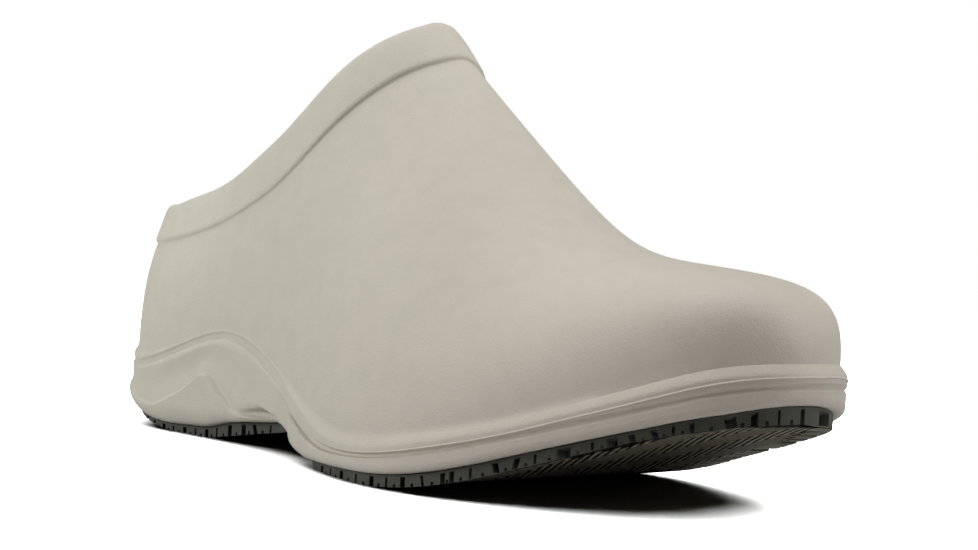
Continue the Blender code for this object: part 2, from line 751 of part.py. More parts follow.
moulding = body_rings()
ORIGIN = plan_middle(moulding)
parts = collection("work_clog")
cutters = collection("cutters")
bone_foam = new_material("bone_foam_rubber", (0.56, 0.53, 0.46), 0.62)
tread_rubber = new_material("dark_tread_rubber", (0.045, 0.047, 0.04), 0.7)
footbed_foam = new_material("footbed_foam", (0.48, 0.45, 0.39), 0.8)

body = loft("moulded_body", moulding, parts)
body.data.materials.append(bone_foam)
for pad_row in PADS:
    pad = make_pad(*pad_row, parts, cutters)
    pad.data.materials.append(tread_rubber)
insole = make_insole(parts)
insole.data.materials.append(footbed_foam)
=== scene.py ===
"""Dressed scene of a right-foot moulded slip-on work clog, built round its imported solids.

Shoe sizes are millimetres: x runs from heel to toe, -y is the lateral side and z = 0 is the floor.
A place on the outline is a turn u: 0 at the heel, 0 to 1 along the lateral side, 1 at the toe tip,
and 1 to 2 back along the medial side.
"""

import math

import bpy
import numpy as np
from mathutils import Matrix, Vector


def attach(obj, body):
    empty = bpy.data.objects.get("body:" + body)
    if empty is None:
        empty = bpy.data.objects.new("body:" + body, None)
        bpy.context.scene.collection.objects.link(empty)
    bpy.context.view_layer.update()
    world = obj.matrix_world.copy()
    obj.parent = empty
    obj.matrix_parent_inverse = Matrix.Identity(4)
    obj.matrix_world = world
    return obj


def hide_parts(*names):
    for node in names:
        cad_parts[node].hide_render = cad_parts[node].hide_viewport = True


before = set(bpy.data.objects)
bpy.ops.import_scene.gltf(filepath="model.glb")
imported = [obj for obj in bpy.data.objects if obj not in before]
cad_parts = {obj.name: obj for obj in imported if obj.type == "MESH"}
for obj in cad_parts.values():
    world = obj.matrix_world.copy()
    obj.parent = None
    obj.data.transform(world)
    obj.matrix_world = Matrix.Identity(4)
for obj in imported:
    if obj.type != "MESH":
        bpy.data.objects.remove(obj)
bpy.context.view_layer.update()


# Moulded body: upper, collar cuff, sidewall and midsole in one piece of off-white foam rubber, injected
# into a two-part mould whose parting line shows as a fine raised line round the toe. The pads are glued
# under it and the footbed lies loose inside.
SHOE_LENGTH = 300.0
SOLE_STEP = 3.0              # how far the upper stands in from the sole at heel and toe
LAST_LENGTH = SHOE_LENGTH - 2 * SOLE_STEP
THROAT_SHARE = 0.52          # where the collar crosses the instep, as a share of the last's length
WALL = 3.4
BODY_COLUMNS = 400

# Bottom outline of the last: share of its length from the heel, lateral y, medial y.
LAST_OUTLINE = np.array([
    (0.045, -28.4, 28.0),
    (0.14, -37.2, 36.6),
    (0.28, -35.3, 35.4),
    (0.42, -39.9, 36.9),
    (0.58, -52.7, 45.8),
    (0.70, -52.7, 50.4),
    (0.82, -43.4, 45.7),
    (0.93, -28.4, 36.2),
])
TOE_TIP_Y = 2.4

# Bottom line of the last from the side: x, height.
LAST_BOTTOM = np.array([
    (0.0, 21.0),
    (60.0, 19.5),
    (110.0, 16.5),
    (150.0, 13.8),
    (180.0, 13.1),
    (212.0, 16.9),
    (238.0, 23.1),
    (255.0, 28.7),
    (272.0, 34.8),
    (287.0, 40.3),
    (294.0, 41.8),
    (300.0, 42.2),
])

# Inner floor from the side: x, height.
INNER_FLOOR = np.array([
    (0.0, 22.0),
    (60.0, 21.2),
    (110.0, 19.8),
    (150.0, 16.8),
    (180.0, 14.4),
    (212.0, 16.2),
    (252.0, 25.6),
    (287.0, 37.8),
    (300.0, 40.3),
])

# Sections of the last: share of its length, height of the section's crown. Behind the throat the crown
# is above the collar and only sets how the side walls lean in.
SECTION_CROWN = np.array([
    (0.00, 84.0),
    (0.13, 84.0),
    (0.27, 109.0),
    (0.40, 150.0),
    (0.50, 131.5),
    (0.56, 116.0),
    (0.63, 97.7),
    (0.70, 80.9),
    (0.77, 70.6),
    (0.85, 66.4),
    (0.93, 63.8),
    (0.98, 57.7),
    (1.00, 42.3),
])

# Squareness of the sections: share of the last's length, superellipse power (2 is an ellipse).
SECTION_POWER = np.array([
    (0.00, 2.5),
    (0.20, 2.5),
    (0.40, 2.15),
    (0.50, 1.75),
    (0.60, 1.78),
    (0.75, 1.96),
    (0.90, 2.6),
    (1.00, 3.1),
])

# Collar cuff: half turn from heel to throat, height of its lower edge, width. At the throat its height
# comes from the crown.
COLLAR_LINE = np.array([
    (0.00, 65.0, 14.2),
    (0.10, 64.3, 14.2),
    (0.20, 64.4, 14.4),
    (0.34, 66.2, 16.7),
    (0.45, 71.5, 16.4),
    (0.55, 79.0, 16.3),
    (0.65, 89.0, 16.4),
    (0.75, 103.7, 15.7),
    (0.85, 117.8, 16.1),
])
CUFF_FRONT_WIDTH = 16.6      # width of the cuff at the throat
FRONT_EASE = 1.6             # how the rings' front ends gather up the vamp
RIDGE_EASE = 3               # how late the rings climb to the vamp's ridge

# Sidewall from the side: x, height of the ledge under the upper, height of the bead below the ledge.
SIDE_LINES = np.array([
    (0.0, 27.5, 1.8),
    (20.0, 23.0, 2.2),
    (40.0, 24.4, 2.8),
    (64.0, 31.8, 3.1),
    (87.0, 36.0, 3.1),
    (112.0, 29.8, 3.6),
    (143.0, 19.3, 5.8),
    (160.0, 15.3, 5.6),
    (180.0, 13.1, 4.6),
    (212.0, 16.9, 4.2),
    (238.0, 23.1, 4.0),
    (255.0, 28.7, 4.5),
    (272.0, 34.8, 5.2),
    (287.0, 40.3, 5.3),
    (294.0, 41.8, 4.9),
    (300.0, 42.2, 4.4),
])

# Upper edge of the heel pod, a W-shaped facet: x, height.
HEEL_FACET = np.array([
    (0.0, 19.0),
    (22.0, 12.6),
    (42.0, 8.6),
    (49.0, 9.4),
    (55.0, 11.6),
    (64.0, 15.6),
    (71.0, 19.6),
    (75.5, 21.4),
    (80.0, 19.2),
    (86.0, 14.9),
    (92.0, 11.8),
    (97.0, 10.1),
    (104.0, 9.9),
    (113.0, 10.5),
    (125.0, 11.2),
])
FACET_END = (128.0, 134.0)   # where the heel facet hands over to the forefoot pod
FOREFOOT_FACET_DROP = (2.1, 1.2)      # forefoot pod starts this far under the bead, at its rear and ahead
FACET_DROP_SPAN = (158.0, 182.0)
POD_MIN_HEIGHT = 0.8
SOLE_LIP = 1.3               # flat rim under the sidewall, in from the pads' edge
PAD_INSET = 1.2              # pads stand in from the wall of the last

# Stand-outs of the sidewall from the last along the shoe: x, swelling of the wall above the ledge, distance
# below the ledge to the bead, bead, roundness of its shoulder, step at the bead's foot, depth of the channel
# in the bead, hollow of the panel under it, step of the pod, half width of that step, height of the pod's
# rounding, tuck of that rounding.
SIDE_SHAPE = np.array([
    (0.0, 6.4, -2.0, 3.4, 0.0, -0.7, 0.0, 0.0, 0.2, 0.9, 8.0, 4.8),
    (24.0, 3.0, -0.6, 1.1, 0.0, 0.4, 0.4, 0.2, 1.0, 0.9, 7.0, 4.2),
    (60.0, 0.6, 0.2, 0.2, 0.0, 0.8, 0.5, 0.6, 1.7, 0.8, 7.0, 3.4),
    (104.0, 0.6, 0.3, 0.3, 0.0, 0.6, 0.5, 0.4, 1.5, 0.5, 2.5, 1.6),
    (118.0, 0.6, 0.5, 0.5, 0.0, 0.3, 0.5, 0.0, 0.0, 0.4, 2.0, 1.2),
    (134.0, 0.6, 1.3, 1.0, 0.1, -0.7, 0.2, 0.0, 0.0, 0.4, 2.0, 1.4),
    (137.5, 0.6, 1.6, 1.1, 0.1, -1.0, 0.1, 0.0, 1.5, 0.3, 3.0, 2.2),
    (166.0, 0.6, 3.0, 1.4, 0.2, -1.0, 0.0, 0.0, 1.3, 0.3, 2.6, 2.0),
    (230.0, 0.3, 2.6, 1.7, 0.7, -0.8, 0.0, 0.0, 0.8, 0.45, 2.4, 1.8),
    (300.0, 0.2, 2.8, 2.0, 0.5, -0.75, 0.0, 0.0, 0.6, 0.6, 2.4, 1.8),
])

# Widths over which the steps of the sidewall run, above and below each line.
BEAD_FOOT_STEP = 0.45
CHANNEL_TOP = (0.3, 0.9)
CHANNEL_FOOT = (0.7, 0.0)
WAIST_STEP = (0.6, 1.5)
PANEL_LEAST = 0.1            # least height of the panel between pod and bead
ARCH_UNDER_GROOVE = 1.0      # the arch's line keeps this far below the bead

# Parting line round the toe: x, share of the way down the bead.
PARTING_LINE = np.array([
    (0.0, 0.55),
    (150.0, 0.80),
    (182.0, 0.93),
    (213.0, 0.92),
    (240.0, 0.89),
    (260.0, 0.78),
    (275.0, 0.71),
    (290.0, 0.66),
    (300.0, 0.62),
])
PARTING_RISE = 0.3
PARTING_WIDTH = 0.22
PARTING_FADE = (176.0, 206.0)         # it rises from the wall from here to here
PARTING_MARGIN = 0.5         # closely spaced rows on either side of the parting line

# Height of the outsole pads along the shoe: x, height.
PAD_SHOW = np.array([
    (0.0, 2.1),
    (40.0, 2.1),
    (61.0, 2.9),
    (78.0, 3.7),
    (89.0, 4.5),
    (100.0, 4.0),
    (112.0, 3.2),
    (130.0, 2.7),
    (150.0, 2.7),
    (185.0, 3.5),
    (225.0, 3.9),
    (250.0, 3.4),
    (272.0, 3.0),
    (288.0, 3.7),
    (300.0, 5.3),
])
HEEL_INSET = (5.0, 45.0, 1.2)         # the heel pad stands further in from here to here by this much
HEEL_BEVEL_END = 57.0                 # ahead of this the heel is flat
HEEL_BEVEL_RISE = 12.0
HEEL_BEVEL_POWER = 1.7
ARCH_RAMP = (72.0, 8.0, 0.158)        # start, length of the easing, slope
WAIST = (92.0, 117.0, 4.5)            # the heel pad's end tapers in from here to here by this much
WAIST_END = (119.0, 124.0)            # ahead of the heel pad the body ends at the arch line

# Lower edge of the wall over the arch: x, height.
ARCH_LINE = np.array([
    (90.0, 10.6),
    (98.0, 11.6),
    (105.0, 12.8),
    (112.0, 13.0),
    (118.0, 12.2),
    (123.0, 11.0),
    (128.0, 9.2),
    (132.0, 7.7),
    (136.0, 5.7),
    (140.0, 4.2),
    (146.0, 3.3),
    (154.0, 2.8),
])
TOE_SPRING = (183.0, 50.0, 0.33)      # start, length of the easing, slope
TOE_FLATTEN = (268.0, 0.0026)         # the spring eases off towards the tip
TOE_TWIST = (225.0, 285.0, 1.5)       # the medial toe springs less, from here to here by this much
TWIST_ACROSS = (-10.0, 45.0)

# Cuff's profile: stand-out from the wall, share of the cuff's width, extra millimetres along the width.
CUFF_PROFILE = (
    (0.0, 0.0, -1.1),
    (0.10, 0.0, -0.75),
    (0.45, 0.0, -0.45),
    (0.85, 0.0, -0.1),
    (1.08, 0.0, 0.5),
    (1.20, 0.12, 0.0),
    (1.30, 0.5, 0.0),
    (1.15, 1.0, -3.2),
    (0.85, 1.0, -1.7),
    (0.20, 1.0, -0.6),
    (-0.70, 1.0, -0.05),
    (-1.70, 1.0, -0.05),
    (-2.60, 1.0, -0.7),
    (-3.20, 1.0, -1.8),
    (-WALL, 1.0, -3.4),
    (-WALL, 0.5, 0.0),
)
CUFF_ROWS = 46
CUFF_LEAN = 0.08             # the cuff's front stands up from the slope of the vamp
CUFF_LEAN_EASE = 6           # how late it leans

# Foot of the inner wall: height over the inner floor, distance in from the outside of the last.
INNER_FOOT = (
    (4.0, WALL),
    (2.2, WALL + 0.15),
    (1.2, WALL + 0.6),
    (0.4, WALL + 1.4),
    (0.0, WALL + 2.4),
)

# Rows of points up the sidewall: lower line, upper line, number of rows.
SIDE_ROWS = (
    ("edge", "facet", 26),
    ("facet", "arch", 12),
    ("arch", "groove", 14),
    ("groove", "under_parting", 10),
    ("under_parting", "over_parting", 14),
    ("over_parting", "ledge", 18),
)
FLARE_LEVEL = 0.16           # up to this level of the upper its rows are closer together
FLARE_ROWS = 16
UPPER_TOP = 0.985            # level where the upper meets the cuff
UPPER_ROWS = 56
INNER_LEVELS = (0.97, 0.12)  # the inner wall, from under the rim down to its foot
INNER_ROWS = 22
LEAST_RISE = 1.0             # the last's sections are at least this high
RISE_LIMIT = 0.9             # the lower wall stays clear of the section's crown


def spline(knots, values):
    """Natural cubic spline through the rows of a table."""
    knots = np.asarray(knots, float)
    values = np.asarray(values, float)
    count = len(knots)
    step = np.diff(knots)
    slope = np.diff(values) / step
    matrix = np.eye(count)
    right = np.zeros(count)
    for row in range(1, count - 1):
        matrix[row, row - 1:row + 2] = step[row - 1], 2 * (step[row - 1] + step[row]), step[row]
        right[row] = 6 * (slope[row] - slope[row - 1])
    bend = np.linalg.solve(matrix, right)

    def curve(x):
        x = np.asarray(x, float)
        cell = np.clip(np.searchsorted(knots, x) - 1, 0, count - 2)
        d = x - knots[cell]
        start = slope[cell] - step[cell] * (2 * bend[cell] + bend[cell + 1]) / 6
        cubic = (bend[cell + 1] - bend[cell]) / (6 * step[cell])
        return values[cell] + d * (start + d * (bend[cell] / 2 + d * cubic))

    return curve


def share_of(turn):
    """Share of the length reached at a turn; points bunch at heel and toe, where the outline is round."""
    return (1 - np.cos(np.pi * np.asarray(turn, float))) / 2


def turn_of(share):
    return np.arccos(1 - 2 * np.clip(share, 0, 1)) / np.pi


def half_turn(u):
    u = np.mod(u, 2.0)
    return np.where(u <= 1, u, 2 - u)


def smooth_step(x, start, end):
    s = np.clip((np.asarray(x, float) - start) / (end - start), 0, 1)
    return s * s * (3 - 2 * s)


def soft_ramp(x, start, easing, slope):
    """Zero up to start, a parabola over the easing, then a straight slope."""
    d = np.clip(np.asarray(x, float) - start, 0, None)
    return slope * np.where(d < easing, d * d / (2 * easing), d - easing / 2)


def closed_outline(rows, tip):
    """Periodic spline of y round the outline, from the lateral and medial columns."""
    turns = turn_of(rows[:, 0])
    knots = np.r_[0, turns, 1, 2 - turns[::-1]]
    values = np.r_[0, rows[:, 1], tip, rows[::-1, 2]]
    wrap = 4
    return spline(np.r_[knots[-wrap:] - 2, knots, knots[:wrap] + 2],
                  np.r_[values[-wrap:], values, values[:wrap]])


outline_y = closed_outline(LAST_OUTLINE, TOE_TIP_Y)
last_bottom = spline(LAST_BOTTOM[:, 0], LAST_BOTTOM[:, 1])
inner_floor = spline(INNER_FLOOR[:, 0], INNER_FLOOR[:, 1])
ledge_line = spline(SIDE_LINES[:, 0], SIDE_LINES[:, 1])
bead_height = spline(SIDE_LINES[:, 0], SIDE_LINES[:, 2])
heel_facet = spline(HEEL_FACET[:, 0], HEEL_FACET[:, 1])
arch_line = spline(ARCH_LINE[:, 0], ARCH_LINE[:, 1])
parting_share = spline(PARTING_LINE[:, 0], PARTING_LINE[:, 1])
section_crown = spline(turn_of(SECTION_CROWN[:, 0]), SECTION_CROWN[:, 1])
section_power = spline(turn_of(SECTION_POWER[:, 0]), SECTION_POWER[:, 1])
throat_height = float(section_crown(turn_of(THROAT_SHARE)))
collar_line = spline(np.r_[COLLAR_LINE[:, 0], 1.0], np.r_[COLLAR_LINE[:, 1], throat_height])
cuff_width = spline(np.r_[COLLAR_LINE[:, 0], 1.0], np.r_[COLLAR_LINE[:, 2], CUFF_FRONT_WIDTH])


def along(turn):
    """x at a turn of the last."""
    return SOLE_STEP + LAST_LENGTH * share_of(turn)


def ring_x(u):
    return along(half_turn(u))


def underside(x, y):
    """Height of the walking surface: heel bevel, arch, flat ball, and toe spring lower at the medial side."""
    heel = HEEL_BEVEL_RISE * np.clip((HEEL_BEVEL_END - x) / HEEL_BEVEL_END, 0, None) ** HEEL_BEVEL_POWER
    arch = soft_ramp(x, *ARCH_RAMP) * (1 - smooth_step(x, *WAIST_END))
    flatten_start, flatten = TOE_FLATTEN
    toe = soft_ramp(x, *TOE_SPRING) - flatten * np.clip(x - flatten_start, 0, None) ** 2
    twist_start, twist_end, twist = TOE_TWIST
    return heel + arch + toe - twist * smooth_step(x, twist_start, twist_end) * smooth_step(y, *TWIST_ACROSS)


def eased(table, x):
    """Columns of a table at x, eased from row to row."""
    knots = table[:, 0]
    row = np.clip(np.searchsorted(knots, x) - 1, 0, len(knots) - 2)
    share = smooth_step(x, knots[row], knots[row + 1])
    return [table[row, k] + (table[row + 1, k] - table[row, k]) * share for k in range(1, table.shape[1])]


def pad_height(x):
    return np.interp(x, PAD_SHOW[:, 0], PAD_SHOW[:, 1])


def waist(x):
    """How far the heel pad's end, and the moulding over it, taper in towards the arch."""
    start, end, depth = WAIST
    return depth * smooth_step(x, start, end) * (1 - smooth_step(x, *WAIST_END))


def pad_inset(x):
    """How far the pads stand in from the wall of the last."""
    start, end, extra = HEEL_INSET
    return PAD_INSET + extra * (1 - smooth_step(x, start, end)) + waist(x)


def bottom_edge(x, y):
    """Height of the moulding's lower edge: the top of the pads, and the arch line between them."""
    over_pads = underside(x, y) + pad_height(x)
    over_arch = arch_line(np.clip(x, ARCH_LINE[0, 0], ARCH_LINE[-1, 0]))
    between = smooth_step(x, *WAIST_END) * (1 - smooth_step(x, *ARCH_LINE[-2:, 0]))
    return over_pads + (over_arch - over_pads) * between


def side_lines(x, y):
    """Heights of the lines that run along the sidewall."""
    ledge = ledge_line(x)
    groove = ledge - bead_height(x)
    parting = ledge - bead_height(x) * parting_share(x)
    edge = bottom_edge(x, y)
    forefoot = smooth_step(x, *FACET_END)
    facet = heel_facet(np.minimum(x, HEEL_FACET[-1, 0])) * (1 - forefoot)
    arch = np.minimum(arch_line(np.clip(x, ARCH_LINE[0, 0], ARCH_LINE[-1, 0])), groove - ARCH_UNDER_GROOVE)
    rear_drop, toe_drop = FOREFOOT_FACET_DROP
    drop = rear_drop + (toe_drop - rear_drop) * smooth_step(x, *FACET_DROP_SPAN)
    facet = facet + (groove - drop) * forefoot
    facet = np.maximum(facet, edge + POD_MIN_HEIGHT)
    arch = np.maximum(arch, facet + POD_MIN_HEIGHT)
    return {"ledge": ledge, "parting": parting, "groove": groove, "arch": arch, "facet": facet, "edge": edge}


def stand_out(x, y, z):
    """How far the moulding stands out from the last at a height: flare, bead, channel, panel and pod."""
    lines = side_lines(x, y)
    (swell, bead_drop, bead, shoulder, bead_foot, channel, hollow, pod, pod_edge, rounding,
     tuck) = eased(SIDE_SHAPE, x)

    def below(line, over, under):
        return smooth_step(-z, -(lines[line] + over), -(lines[line] - under))

    ramp = np.clip((lines["ledge"] + swell - z) / (swell + bead_drop), 0, 1)
    eased_ramp = ramp * ramp * (3 - 2 * ramp)
    round_ramp = np.sqrt(1 - (1 - ramp) ** 2)
    out = bead * (eased_ramp + (round_ramp - eased_ramp) * shoulder)
    out = out + bead_foot * below("groove", BEAD_FOOT_STEP, BEAD_FOOT_STEP)
    out = out - channel * (below("ledge", *CHANNEL_TOP) - below("groove", *CHANNEL_FOOT))
    panel = np.maximum(lines["groove"] - lines["facet"], PANEL_LEAST)
    out = out - hollow * np.sin(np.pi * np.clip((lines["groove"] - z) / panel, 0, 1)) ** 2
    out = out + pod * below("facet", pod_edge, pod_edge)
    out = out - waist(x) * below("arch", *WAIST_STEP)
    height = np.minimum(rounding, np.maximum(lines["facet"] - lines["edge"], POD_MIN_HEIGHT))
    under = np.clip(1 - (z - lines["edge"]) / height, 0, 1)
    out = out - tuck * (1 - np.sqrt(1 - under ** 2))
    ridge = np.exp(-((z - lines["parting"]) / PARTING_WIDTH) ** 2)
    return out + PARTING_RISE * ridge * smooth_step(x, *PARTING_FADE)


def section_point(turn, rise, lateral):
    """Point on the last: rise 0 is its bottom line, 1 the section's crown; lateral is True on the -Y side."""
    x = along(turn)
    power = section_power(turn)
    centre = TOE_TIP_Y * share_of(turn) ** 2
    side_y = outline_y(np.where(lateral, turn, 2 - turn))
    narrowing = np.clip(1 - np.clip(rise, 0, 1) ** power, 0, 1) ** (1 / power)
    height = last_bottom(x) + (section_crown(turn) - last_bottom(x)) * rise
    return np.stack([x, centre + (side_y - centre) * narrowing, height], -1)


def outward(u):
    """Unit vector in plan that points out of the outline at turn u."""
    nudge = 1e-3

    def place(v):
        return np.stack([along(half_turn(v)), outline_y(np.mod(v, 2.0))], -1)

    way = place(u + nudge) - place(u - nudge)
    way /= np.linalg.norm(way, axis=-1, keepdims=True)
    return np.stack([way[:, 1], -way[:, 0], np.zeros(len(way))], -1)


def upper_ring(u, level):
    """Ring round the upper on the last's surface: level 0 lies on the ledge, 1 on the collar line."""
    turn = half_turn(u)
    reach = share_of(turn)
    front = 1 - (1 - THROAT_SHARE) * level ** FRONT_EASE
    front_turn = turn_of(front)
    front_rise = section_crown(front_turn) - last_bottom(along(front_turn))
    throat_turn = turn_of(THROAT_SHARE)
    throat_rise = throat_height - last_bottom(along(throat_turn))
    collar_rise = collar_line(turn) - last_bottom(along(turn_of(THROAT_SHARE * reach)))
    station = turn_of(front * reach)
    x = along(station)
    wave = (ledge_line(x) - last_bottom(x)) * (1 - level)
    rise = wave + level * collar_rise + (front_rise - level * throat_rise) * reach ** RIDGE_EASE
    crown_rise = np.maximum(section_crown(station) - last_bottom(x), 1e-6)
    at_ridge = turn > 1 - 1e-9
    return section_point(station, np.where(at_ridge, 1.0, rise / crown_rise), np.mod(u, 2.0) <= 1)


def ring_frame(u, level):
    """A ring with its outward normal and its direction up the wall."""
    nudge = 0.01
    ring = upper_ring(u, level)
    tangent = np.roll(ring, -1, 0) - np.roll(ring, 1, 0)
    tangent /= np.linalg.norm(tangent, axis=1, keepdims=True)
    above = min(level + nudge, 1.0)
    climb = upper_ring(u, above) - upper_ring(u, above - 2 * nudge)
    climb -= (climb * tangent).sum(1, keepdims=True) * tangent
    climb /= np.linalg.norm(climb, axis=1, keepdims=True)
    return ring, np.cross(tangent, climb), climb


def wall_ring(u, height, out):
    """Ring at a height on the last's lower wall, moved out in plan."""
    turn = half_turn(u)
    x = along(turn)
    rise = (height - last_bottom(x)) / np.maximum(section_crown(turn) - last_bottom(x), LEAST_RISE)
    ring = section_point(turn, np.clip(rise, 0, RISE_LIMIT), np.mod(u, 2.0) <= 1)
    ring = ring + outward(u) * np.reshape(out, (-1, 1))
    ring[:, 2] = height
    return ring


def swollen_ring(u, level):
    """Ring of the upper with the flare that carries it out over the sidewall."""
    ring = upper_ring(u, level)
    station = turn_of((ring[:, 0] - SOLE_STEP) / LAST_LENGTH)
    side_turn = np.where(np.mod(u, 2.0) <= 1, station, 2 - station)
    return ring + outward(side_turn) * stand_out(*ring.T)[:, None]


def body_rings(u):
    """Rings of the hollow moulding: up the sidewall, upper and cuff, over the rim and down to the floor."""
    x = ring_x(u)
    y = outline_y(u)
    lines = side_lines(x, y)
    lines["under_parting"] = lines["parting"] - PARTING_MARGIN
    lines["over_parting"] = lines["parting"] + PARTING_MARGIN
    rings = [wall_ring(u, lines["edge"], -SOLE_LIP - pad_inset(x))]
    for lower, upper, count in SIDE_ROWS:
        for share in np.linspace(0, 1, count, endpoint=False):
            height = lines[lower] + (lines[upper] - lines[lower]) * share
            rings.append(wall_ring(u, height, stand_out(x, y, height)))
    flare_levels = np.linspace(0, FLARE_LEVEL, FLARE_ROWS, endpoint=False)
    upper_levels = np.linspace(FLARE_LEVEL, UPPER_TOP, UPPER_ROWS)
    rings += [swollen_ring(u, level) for level in np.r_[flare_levels, upper_levels]]
    collar, normal, climb = ring_frame(u, 1.0)
    width = cuff_width(half_turn(u))[:, None]
    lean = (CUFF_LEAN * share_of(half_turn(u)) ** CUFF_LEAN_EASE)[:, None]
    profile = np.array(CUFF_PROFILE)
    curves = [spline(np.arange(len(profile)), column) for column in profile.T]
    for place in np.linspace(0, len(profile) - 1, CUFF_ROWS):
        out, share, extra = (curve(place) for curve in curves)
        rise = width * share + extra
        rings.append(collar + normal * (out + lean * rise) + climb * rise)
    for level in np.linspace(*INNER_LEVELS, INNER_ROWS):
        ring, normal, climb = ring_frame(u, level)
        rings.append(ring - normal * WALL)
    floor = inner_floor(x)
    for height, stand_in in INNER_FOOT:
        rings.append(wall_ring(u, floor + height, -stand_in))
    return rings


MM = 0.001
body_turns = np.arange(BODY_COLUMNS) * 2.0 / BODY_COLUMNS
body_points = body_rings(body_turns)
plan = np.concatenate(body_points)
ORIGIN = np.array([*(plan.min(0) + plan.max(0))[:2] / 2, 0.0])


def lofted(rings):
    """Corners and faces of a closed form through rings from the bottom up, its ends closed by strips."""
    count = len(rings[0])
    corners = np.concatenate(rings)
    faces = []
    for row in range(len(rings) - 1):
        low, high = row * count, (row + 1) * count
        for i in range(count):
            k = (i + 1) % count
            faces.append((low + i, low + k, high + k, high + i))
    for start, flip in ((0, True), ((len(rings) - 1) * count, False)):
        for i in range(count // 2):
            strip = list(dict.fromkeys([i, i + 1, count - i - 1, (count - i) % count]))
            faces.append(tuple(start + j for j in (strip[::-1] if flip else strip)))
    return corners, faces


def shoe_piece(name, shells, crease=35.0):
    """Mesh object from one or more closed shells, smooth but for edges sharper than the crease angle."""
    corners = []
    faces = []
    for points, polygons in shells:
        offset = len(corners)
        corners.extend((np.asarray(points) - ORIGIN) * MM)
        faces.extend(tuple(offset + j for j in polygon) for polygon in polygons)
    mesh = bpy.data.meshes.new(name)
    mesh.from_pydata([tuple(point) for point in corners], [], faces)
    mesh.validate()
    mesh.shade_smooth()
    mesh.set_sharp_from_angle(angle=math.radians(crease))
    made = bpy.data.objects.new(name, mesh)
    bpy.context.scene.collection.objects.link(made)
    return made


def linear(code):
    """Linear colour from an sRGB hex value."""
    parts = [int(code[i:i + 2], 16) / 255 for i in (1, 3, 5)]
    return (*[c / 12.92 if c <= 0.04045 else ((c + 0.055) / 1.055) ** 2.4 for c in parts], 1.0)


def add_node(tree, kind, inputs=(), **settings):
    """Shader node with its settings; each input is a constant or the socket that it is linked from."""
    made = tree.nodes.new(kind)
    for name, value in settings.items():
        setattr(made, name, value)
    for name, value in dict(inputs).items():
        if isinstance(value, bpy.types.NodeSocket):
            tree.links.new(value, made.inputs[name])
        else:
            made.inputs[name].default_value = value
    return made


def new_material(name):
    made = bpy.data.materials.new(name)
    made.use_nodes = True
    return made, made.node_tree, made.node_tree.nodes["Principled BSDF"]


# Moulded foam rubber: a matte, closed skin with a fine grain from the mould, faintly flecked, whose bone tint
# drifts from greenish at the heel to pinkish at the toe, unevenly, as the compound filled the mould.
bone_foam, tree, shader = new_material("moulded_foam_rubber_bone")
DRIFT_MM = 42.0
DRIFT_START = -0.09          # greenish behind this, in metres
DRIFT_END = 0.12             # pinkish ahead of this
UNEVEN = 0.25
MOTTLE_MM = 7.0
MOTTLE_SHARE = 0.22          # greatest share of the darker tone
FLECK_MM = 1.1               # real flecks are under half of this, too fine to show
FLECK_SHARE = 0.12
GRAIN_MM = 0.6               # coarser than the mould's own grain, so that it shows
GRAIN_DEPTH = 0.0003
place = add_node(tree, "ShaderNodeTexCoord").outputs["Object"]
drift = add_node(tree, "ShaderNodeTexNoise", {"Vector": place, "Scale": 1000 / DRIFT_MM, "Detail": 2.0})
fleck = add_node(tree, "ShaderNodeTexNoise", {"Vector": place, "Scale": 1000 / FLECK_MM, "Detail": 1.0})
grain = add_node(tree, "ShaderNodeTexNoise", {"Vector": place, "Scale": 1000 / GRAIN_MM, "Detail": 3.0})
mottle = add_node(tree, "ShaderNodeTexNoise", {"Vector": place, "Scale": 1000 / MOTTLE_MM, "Detail": 3.0})
forward = add_node(tree, "ShaderNodeSeparateXYZ", {"Vector": place}).outputs["X"]
run = add_node(tree, "ShaderNodeMapRange", {
    "Value": forward, "From Min": DRIFT_START, "From Max": DRIFT_END,
    "To Min": -UNEVEN, "To Max": 1 - UNEVEN})
drift_share = add_node(tree, "ShaderNodeMath", {
    0: drift.outputs["Fac"], 1: 2 * UNEVEN, 2: run.outputs["Result"]},
    operation="MULTIPLY_ADD", use_clamp=True)
tint = add_node(tree, "ShaderNodeMix", {
    "Factor": drift_share.outputs[0], "A": linear("#C4C1B3"), "B": linear("#C4BBB0")}, data_type="RGBA")
mottle_share = add_node(tree, "ShaderNodeMapRange", {
    "Value": mottle.outputs["Fac"], "From Min": 0.4, "From Max": 0.7, "To Max": MOTTLE_SHARE})
mottled = add_node(tree, "ShaderNodeMix", {
    "Factor": mottle_share.outputs["Result"], "A": tint.outputs["Result"], "B": linear("#B3AFA2")},
    data_type="RGBA")
fleck_share = add_node(tree, "ShaderNodeMapRange", {
    "Value": fleck.outputs["Fac"], "From Min": 0.62, "From Max": 0.74, "To Max": FLECK_SHARE})
flecked = add_node(tree, "ShaderNodeMix", {
    "Factor": fleck_share.outputs["Result"], "A": mottled.outputs["Result"], "B": linear("#A8A296")},
    data_type="RGBA")
relief = add_node(tree, "ShaderNodeBump", {
    "Height": grain.outputs["Fac"], "Strength": 0.55, "Distance": GRAIN_DEPTH})
tree.links.new(flecked.outputs["Result"], shader.inputs["Base Color"])
tree.links.new(relief.outputs["Normal"], shader.inputs["Normal"])
shader.inputs["Roughness"].default_value = 0.62
shader.inputs["IOR"].default_value = 1.49
shader.inputs["Specular IOR Level"].default_value = 0.35

body = shoe_piece("moulded_body_skin", [lofted(body_points)])
body.data.materials.append(bone_foam)
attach(body, "root")
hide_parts("moulded_body")
shoe_pieces = [body]


